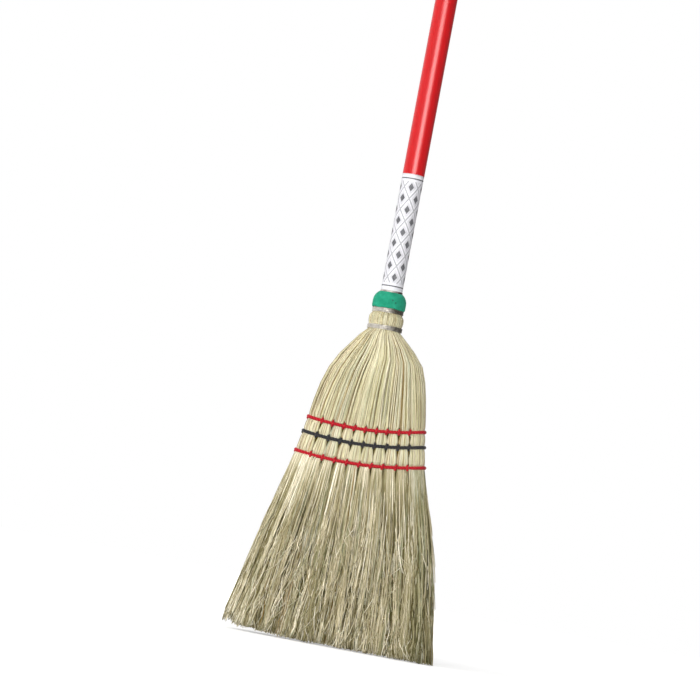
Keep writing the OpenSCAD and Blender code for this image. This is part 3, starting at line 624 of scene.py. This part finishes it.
# wire bands, mm: turns that touch and how far the ends go in; for all, the CAD wire's thickness, points for
# each turn and round the wire, unevenness as shares of the wire, and the angle of the bend at an end
wireBands = dict(
    top_wire=dict(turns=2, reach=2), middle_wire=dict(turns=4, reach=2),
    lower_wire=dict(turns=4, reach=2), inner_wire=dict(turns=5, reach=5))
wireForm = dict(cadWire=1, steps=48, around=10, bulge=0.14, sag=0.12, bend=0.03)


# winding: straight in from the side at both ends, and between them a slightly uneven screw of touching turns
def windingPiece(name, w):
    c, bend = wireForm, wireForm["bend"]
    foot, top, outside = roundBox(name)
    seat = outside - c["cadWire"]
    wire = (top - foot) / (w["turns"] + 1) / 2
    turn = np.linspace(0, w["turns"], w["turns"] * c["steps"] + 1)
    radius = seat + wire * (1 + c["bulge"] * np.sin(turn * 7.3 + foot))
    height = foot + wire + 2 * wire * turn + c["sag"] * wire * np.sin(turn * 9.1)
    angle = np.pi / 2 + 2 * np.pi * turn
    ends = [seat + wire - w["reach"], seat - wire, seat + 0.5 * wire]
    radius = np.r_[ends, radius, ends[::-1]]
    start, end = angle[0], angle[-1]
    angle = np.r_[[start - 2 * bend] * 2, start - bend, angle, end + bend, [end + 2 * bend] * 2]
    height = np.r_[[height[0]] * 3, height, [height[-1]] * 3]
    path = np.stack([radius * np.cos(angle), radius * np.sin(angle), height], -1)
    guide = np.tile([0.0, 0.0, 1.0], (len(path), 1))
    return tubePiece(name + "_winding", path, np.full(len(path), wire), guide, c["around"], galvanised)


for name, w in wireBands.items():
    piece = windingPiece(name, w)
    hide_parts(name)
print("wires wound")


# sewing twine: three plies laid together, dyed, with a soft fuzzy skin and painted shade in the lines between
# the plies
def twineMaterial(name, deep, bright):
    material, tree, surface = newMaterial(name, Roughness=0.75, Specular_IOR_Level=0.15, Sheen_Weight=0.15)
    fuzz = addNoise(tree, ownPlace(tree), 0.8, 3.0)
    paintedPlyShade = addRange(tree, pointMark(tree, "crest"), (-1.0, 0.6), (0.0, 0.7))
    both = addMath(tree, "MULTIPLY_ADD", fuzz, 0.5, paintedPlyShade)
    dress(tree, surface, addRamp(tree, both, [(0.15, deep), (0.85, bright)]), fuzz, 0.5, 0.3)
    return material


redTwine = twineMaterial("RedSewingTwine", "#740A14", "#CB1E2C")
blackTwine = twineMaterial("BlackSewingTwine", "#131315", "#38383A")

# rows of sewing, mm: radii of the band and of a stitch, how deep the band lies, how tall and proud a stitch
# is and how it leans, the pinch of the band under it, lay and dents of the plies, points round, steps along,
# the band's ends, which are tucked in, thinned and pass each other, and how unevenly stitches stand and lean
twineRows = dict(
    lower_twine=dict(row=183, dye=redTwine, slot="red_twine"),
    middle_twine=dict(row=203, dye=blackTwine, slot="black_twine"),
    upper_twine=dict(row=218, dye=redTwine, slot="red_twine"))
twineLay = dict(
    bandR=1.85, stitchR=1.4, sink=1.2, tall=2.1, proud=1.35, lean=0.25, pinch=0.22, pinchMm=1.6,
    twist=dict(plies=3, layMm=9.0, dent=0.11), around=12, stepMm=0.8, facePoints=160, edgePoints=30, tuck=8,
    thinned=0.48, thinMm=14, passing=0.55, passPoints=12, turnMm=6, jitter=0.012, leanSpread=0.3)


# evenly spaced points along a broken line
def evenSteps(path, step):
    length = runLength(path)
    at = np.linspace(0, length[-1], max(int(length[-1] / step), 2))
    return np.stack([np.interp(at, length, path[:, i]) for i in range(3)], -1)


# half-round stitches over the band at these middles: they stand out towards the way and lean along the row
def stitchArcs(mids, way, lean):
    turn = np.linspace(-np.pi / 2, np.pi / 2, 13)[None]
    out, up = way * twineLay["proud"] * np.cos(turn), twineLay["tall"] * np.sin(turn)
    return np.stack([mids[:, :1] + lean * np.sin(turn), mids[:, 1:2] + out, mids[:, 2:] + up], -1)


# one twine: a band round the head, pinched under the stitches, which go through and through from face to face
def twinePiece(name, t):
    c, row, n = twineLay, t["row"], headForm["bundles"]
    out = headForm["bite"] + c["sink"] - c["bandR"]
    half = c["edgePoints"] // 2
    faces = np.linspace(-1, 1, c["facePoints"], endpoint=False)
    edge = np.linspace(-1, 1, c["edgePoints"], endpoint=False)
    order = [(left, np.linspace(0, 1, half, endpoint=False)), (front, faces), (right, edge), (back, faces),
             (left, np.linspace(-1, 0, half))]
    band = np.concatenate([headPoint(row + 0 * k, side, k, out) for side, k in order])
    end, near = len(band) - 1, c["passPoints"]
    passing = np.interp(np.arange(len(band)), [0, near, end - near, end], [1, 0, 0, -1])
    band[:, 2] += passing * c["passing"] * c["bandR"]  # the two ends pass each other at the left edge
    k = np.linspace(-1, 1, n + 1) * headForm["lastStitch"] + rng.normal(0, c["jitter"], n + 1)
    faceMid, backMid = headPoint(row + 0 * k, front, k, out), headPoint(row + 0 * k, back, -k, out)
    lean = rng.normal(c["lean"], c["leanSpread"], n + 1)[:, None]
    stitches = [stitchArcs(faceMid, -1, lean), stitchArcs(backMid, 1, lean)[:, ::-1]]
    stitches = np.concatenate(stitches, 1).reshape(-1, 3)
    inward = np.array([[c["tuck"], 0, 0]])
    last = stitches[-1:] - [[0, c["tuck"], 0]]
    whole = np.concatenate([band[:1] + inward, band, band[-1:] + inward, stitches, last])
    bandLength = runLength(whole[:len(band) + 2])[-1]
    path = evenSteps(whole, c["stepMm"])
    length = runLength(path)
    share = np.clip((length - bandLength) / c["turnMm"] + 0.5, 0, 1)[:, None]
    guide = np.array([0.0, 0.0, 1.0]) * (1 - share) + np.array([1.0, 0.0, 0.0]) * share
    mids = np.concatenate([faceMid, backMid])
    fromStitch = np.linalg.norm(path[:, None] - mids[None], axis=2).min(1)
    squeezed = c["bandR"] * (1 - c["pinch"] * np.exp(-(fromStitch / c["pinchMm"]) ** 2))
    fromEnd = np.minimum(length, np.abs(length - bandLength))
    thinned = 1 - c["thinned"] * np.clip(1 - fromEnd / c["thinMm"], 0, 1)
    radii = (squeezed + (c["stitchR"] - squeezed) * share[:, 0]) * np.where(share[:, 0] < 0.5, thinned, 1)
    return tubePiece(name + "_sewn", path, radii, guide, c["around"], t["dye"], **c["twist"])


for name, t in twineRows.items():
    piece = twinePiece(name, t)
    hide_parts(name)
print("rows sewn")


# collar velvet: short dense pile, so the rim of the form is paler than its middle
def velvetMaterial():
    material, tree, surface = newMaterial(
        "GreenCottonVelvet", Roughness=0.9, Specular_IOR_Level=0.1, Sheen_Weight=0.45, Sheen_Roughness=0.4,
        Sheen_Tint=hexColour("#7FE0C4"))
    place = ownPlace(tree)
    pile = addNoise(tree, place, 0.7, 3.0)
    brushed = addMath(tree, "MULTIPLY_ADD", pile, 0.45, addNoise(tree, place, 7, 2.0))
    dress(tree, surface, addRamp(tree, brushed, [(0.45, "#1B8565"), (1.0, "#33AA88")]), pile, 0.6, 0.35)
    return material


# collar: outside and inside of the cloth as shares of its radius and of its height, points round it and along
# its profile, and in mm its pucker, which is a sum of waves, and the gathers at its top
collarForm = dict(
    outside=np.array([
        [0.955, -0.035], [0.985, 0.0], [1, 0.12], [1, 0.4], [0.99, 0.54], [0.965, 0.66], [0.915, 0.78],
        [0.845, 0.89], [0.77, 0.97], [0.7, 1.04]]),
    inside=np.array([[0.675, 0.96], [0.79, 0.82], [0.9, 0.6], [0.91, 0.3], [0.91, 0.04]]),
    around=160, steps=72, pucker=0.22, waves=(3, 5, 8, 13, 21), gathers=34, gather=0.16, gatherFrom=3.5,
    gatherOver=3)


# cloth turned round the handle: a closed profile carried round a circle, its radius uneven by slow waves
def collarPiece(c):
    low, high, radius = roundBox("collar")
    outline = np.concatenate([c["outside"], c["inside"]]) * [radius, high - low] + [0, low]
    closed = np.r_[outline, outline[:1]]
    step = runLength(closed)
    at = np.linspace(0, step[-1], c["steps"], endpoint=False)
    reach, height = (np.interp(at, step, closed[:, i])[None] for i in (0, 1))
    angle = np.linspace(0, 2 * np.pi, c["around"], endpoint=False)[:, None]
    starts = rng.uniform(0, 6.28, len(c["waves"]))
    wave = sum(np.sin(rate * angle + start) / rate for rate, start in zip(c["waves"], starts))
    nearTop = np.clip((height - high + c["gatherFrom"]) / c["gatherOver"], 0, 1)
    gather = np.sin(c["gathers"] * angle + 2 * np.sin(5 * angle)) * nearTop * c["gather"]
    reach = reach + c["pucker"] * wave * np.clip((reach - 13) / 4, 0, 1) + gather
    foot = 0.18 * np.sin(4 * angle + 1) + 0.12 * np.sin(9 * angle)
    z = height + foot * np.clip((low + 2 - height) / 2, 0, 1)
    points = np.stack([reach * np.cos(angle), reach * np.sin(angle), z], -1)
    n, m = reach.shape
    first = np.arange(n * m).reshape(n, m)
    ahead = np.roll(first, -1, 0)
    walls = np.stack([first, ahead, np.roll(ahead, -1, 1), np.roll(first, -1, 1)], -1)
    return meshPiece("velvet_collar", points.reshape(-1, 3), [walls.reshape(-1, 4)], velvetMaterial())


collar = collarPiece(collarForm)
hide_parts("collar")
print("collar fitted")


# handle: turned hardwood under red gloss lacquer, the grain just telling through the colour
def lacquerMaterial():
    material, tree, surface = newMaterial("RedLacqueredWood", Roughness=0.3, Specular_IOR_Level=0.5)
    along = addNode(tree, "Mapping", {"Vector": ownPlace(tree), "Scale": (1, 1, 0.03)}).outputs[0]
    grain = addNoise(tree, along, 2.2, 4.0)
    both = addMath(tree, "MULTIPLY_ADD", grain, 0.6, addNoise(tree, along, 14, 2.0))
    dress(tree, surface, addRamp(tree, both, [(0.5, "#C2070D"), (1.0, "#D60D16")]), grain, 0.1, 0.15)
    return material


# tacks: blued steel heads pushed down into the pile, which tints them green
def tackMaterial():
    material, tree, surface = newMaterial("BluedTackSteel", Roughness=0.7, Specular_IOR_Level=0.2)
    scuff = addNoise(tree, ownPlace(tree), 0.5, 2.0)
    dress(tree, surface, addRamp(tree, scuff, [(0.3, "#1F6B53"), (0.7, "#287A61")]))
    return material


for name, material in (("handle", lacquerMaterial()), ("collar_tacks", tackMaterial())):
    nodes[name].data.materials.clear()
    nodes[name].data.materials.append(material)
print("handle lacquered")

# label, mm: one turn of paper, its ends lapped at the back and its foot tucked into the collar, with points
# round and along it, faint ripples, plain printed rules and a trellis of lozenges; edge, tint and heart are
# shares of a lozenge, and inks shares of full ink
labelForm = dict(
    radius=10.68, paper=0.2, overlap=0.5, tucked=1.5, lap=7, around=150, steps=40, ripples=(0.03, 0.025),
    border=4.6, line=0.62, margin=3, lozenge=(7.2, 11.5), edge=0.1, edgeInk=0.6, tint=0.3, tintInk=0.22,
    heart=0.62, trellisInk=0.9)


# printed paper: uncoated white stock and one dark ink; 0 is the edge of a lozenge and 1 its middle
def paperMaterial(c, tall):
    material, tree, surface = newMaterial("PrintedLabelPaper", Roughness=0.5, Specular_IOR_Level=0.25)
    pulp = addNoise(tree, ownPlace(tree), 1.4, 4.0)
    stock = addRamp(tree, pulp, [(0.3, "#E6E5EA"), (0.7, "#EFEEF2")])
    half, (wide, high) = tall / 2, c["lozenge"]
    fromMiddle = addMath(tree, "ABSOLUTE", addMath(tree, "SUBTRACT", pointMark(tree, "rise"), half))
    rule = addMath(tree, "COMPARE", fromMiddle, half - c["border"], c["line"])
    field = addMath(tree, "LESS_THAN", fromMiddle, half - c["border"] - c["margin"])
    lift = addMath(tree, "MULTIPLY", addMath(tree, "PINGPONG", fromMiddle, high), 1 / high)
    spread = addMath(tree, "MULTIPLY", addMath(tree, "PINGPONG", pointMark(tree, "across"), wide), 1 / wide)
    lozenge = addMath(tree, "SUBTRACT", addMath(tree, "ADD", lift, spread), 1.0)
    inner = addMath(tree, "ABSOLUTE", lozenge)
    edge = addMath(tree, "LESS_THAN", inner, c["edge"])
    tint = addMath(tree, "GREATER_THAN", inner, c["tint"])
    heart = addMath(tree, "GREATER_THAN", inner, c["heart"])
    grey = addMath(tree, "MULTIPLY_ADD", tint, c["tintInk"], heart)
    grey = addMath(tree, "MULTIPLY_ADD", edge, c["edgeInk"], grey)
    grey = addMath(tree, "MULTIPLY", grey, field)
    ink = addMath(tree, "MULTIPLY_ADD", grey, c["trellisInk"], rule, use_clamp=True)
    ink = addMath(tree, "MULTIPLY", ink, addRange(tree, pulp, noiseSpan, (0.95, 0.8)))
    dress(tree, surface, addMix(tree, ink, stock, "#3A3A3E"), pulp, 0.2, 0.05)
    return material


# paper strip carried round the handle: the radius grows by one thickness over the lap, with faint ripples
def labelPiece(c):
    low, high, _ = roundBox("label")
    foot, tall, tucked = low - c["overlap"], high - low + c["overlap"], c["tucked"]
    lap = c["lap"] / c["radius"]
    angle = np.linspace(np.pi / 2 - lap / 2, np.pi / 2 + 2 * np.pi + lap / 2, c["around"])[:, None]
    over = np.clip((angle - (np.pi / 2 + 2 * np.pi - lap)) / (lap / 2), 0, 1)
    v = np.linspace(0, 1, c["steps"])
    up = np.r_[v, v[::-1]][None]
    wall = np.r_[np.ones(len(v)), np.zeros(len(v))][None]
    broad, fine = c["ripples"]
    ripple = broad * np.sin(9 * angle + 14 * up) + fine * np.sin(4 * angle - 23 * up)
    radius = c["radius"] + c["paper"] * (wall + over) + ripple
    rise = (tall + tucked) * up - tucked + 0 * angle  # height over the foot of the print
    points = np.stack([radius * np.cos(angle), radius * np.sin(angle), foot + rise], -1)
    n, m = radius.shape
    across = (angle - np.pi * 1.5) * c["radius"] + 0 * up
    walls, ends = tubeFaces(1, n, m)
    faces = [walls[:, ::-1], ends[:, ::-1]]
    marks = dict(across=across, rise=rise)
    return meshPiece("paper_label", points.reshape(-1, 3), faces, paperMaterial(c, tall), marks)


label = labelPiece(labelForm)
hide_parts("label")
print("label pasted")

# studio: a pale floor, a white room and soft lamps, which light the object, show in its gloss, or both
studio = dict(
    ambient=0.22, mirrored=(0.4, 0.95), floorSize=3.0, floorColour="#F0F0F0", floorGlow=(0.45, 1.0),
    glowReach=(0.25, 0.6),
    lamps=dict(
        key=dict(place=(-2.0, -1.6, 1.6), aim=(0, 0, 0.3), size=(2.0, 2.0), power=33, shows=(True, False)),
        front=dict(place=(-0.45, -2.36, 0.8), aim=(0, 0, 0.5), size=(1.4, 1), power=37, shows=(True, False)),
        strip=dict(place=(0.05, -2.4, 0.8), aim=(0, 0, 0.5), size=(1.5, 0.9), power=46, shows=(False, True)),
        rear=dict(place=(0.5, 2.4, 1.5), aim=(0, 0, 0.4), size=(1.6, 1.6), power=14, shows=(True, False)),
        top=dict(place=(0.1, 0.3, 2.4), aim=(0, 0, 0.2), size=(1.8, 1.8), power=10, shows=(True, True))))
# the camera looks along +y, a little upwards, and is rolled
cameraForm = dict(aim=(-0.030, 0.0, 0.2941), away=3.0, upwards=3.5, roll=10.7, across=0.700, sensor=36.0)


# white for the camera and for reflections of the far side, and a lower level for what lights the object
def makeRoom(c):
    world = bpy.data.worlds.new("WhiteRoom")
    scene.world = world
    world.use_nodes = True
    tree = world.node_tree
    rays = addNode(tree, "LightPath").outputs
    way = addNode(tree, "SeparateXYZ", {0: addNode(tree, "TexCoord").outputs["Generated"]}).outputs
    farSide = addRange(tree, addMath(tree, "SUBTRACT", way["Y"], way["X"]), c["mirrored"])
    mirrored = addMath(tree, "MULTIPLY", rays["Is Glossy Ray"], farSide)
    seen = addMath(tree, "MAXIMUM", rays["Is Camera Ray"], mirrored)
    seen = addMath(tree, "MAXIMUM", seen, rays["Is Transmission Ray"])
    level = addRange(tree, seen, result=(c["ambient"], 1.0))
    backdrop = tree.nodes["Background"].inputs
    tree.links.new(level, backdrop["Strength"])
    backdrop["Color"].default_value = (1, 1, 1, 1)


# area lamps, each turned from its place to its aim
def makeLamps(c):
    for name, lamp in c["lamps"].items():
        light = bpy.data.lights.new(name, "AREA")
        light.shape, (light.size, light.size_y), light.energy = "RECTANGLE", lamp["size"], lamp["power"]
        stand = bpy.data.objects.new(name, light)
        stand.location, (stand.visible_diffuse, stand.visible_glossy) = lamp["place"], lamp["shows"]
        sight = Vector(lamp["aim"]) - Vector(lamp["place"])
        stand.rotation_euler = sight.to_track_quat("-Z", "Y").to_euler()
        scene.collection.objects.link(stand)


# one pale square that glows for the camera, more so further from the object, to meet the white room
def makeFloor(c):
    material, tree, surface = newMaterial("PaleFloor", Base_Color=hexColour(c["floorColour"]), Roughness=0.9,
                                          Specular_IOR_Level=0.0, Emission_Color=(1, 1, 1, 1))
    rays = addNode(tree, "LightPath").outputs
    seen = addMath(tree, "MAXIMUM", rays["Is Camera Ray"], rays["Is Glossy Ray"])
    away = addNode(tree, "VectorMath", {0: ownPlace(tree)}, operation="LENGTH").outputs["Value"]
    glow = addRange(tree, away, c["glowReach"], c["floorGlow"], interpolation_type="SMOOTHSTEP")
    tree.links.new(addMath(tree, "MULTIPLY", seen, glow), surface.inputs["Emission Strength"])
    reach = c["floorSize"]
    corners = [(-reach, -reach, 0), (reach, -reach, 0), (reach, reach, 0), (-reach, reach, 0)]
    mesh = bpy.data.meshes.new("floor")
    mesh.from_pydata(corners, [], [(0, 1, 2, 3)])
    mesh.materials.append(material)
    floor = bpy.data.objects.new("floor", mesh)
    scene.collection.objects.link(floor)


# camera: right and up are turned about the line of sight, so that the handle's top leans to the right
def makeCamera(c):
    pitch, roll = np.radians(c["upwards"]), np.radians(c["roll"])
    ahead = np.array([0, np.cos(pitch), np.sin(pitch)])
    level, upright = np.array([1.0, 0, 0]), np.array([0, -np.sin(pitch), np.cos(pitch)])
    sideways = np.cos(roll) * level + np.sin(roll) * upright
    above = -np.sin(roll) * level + np.cos(roll) * upright
    data = bpy.data.cameras.new("camera")
    data.sensor_width = c["sensor"]
    data.lens = c["sensor"] * c["away"] / c["across"]
    camera = bpy.data.objects.new("camera", data)
    turn = np.eye(4)
    turn[:3, :3] = np.stack([sideways, above, -ahead], 1)
    turn[:3, 3] = np.array(c["aim"]) - c["away"] * ahead
    camera.matrix_world = Matrix(turn.tolist())
    scene.collection.objects.link(camera)
    scene.camera = camera


makeRoom(studio)
makeLamps(studio)
makeFloor(studio)
makeCamera(cameraForm)
scene.view_settings.view_transform = "Standard"
print("studio lit")

bpy.context.view_layer.update()
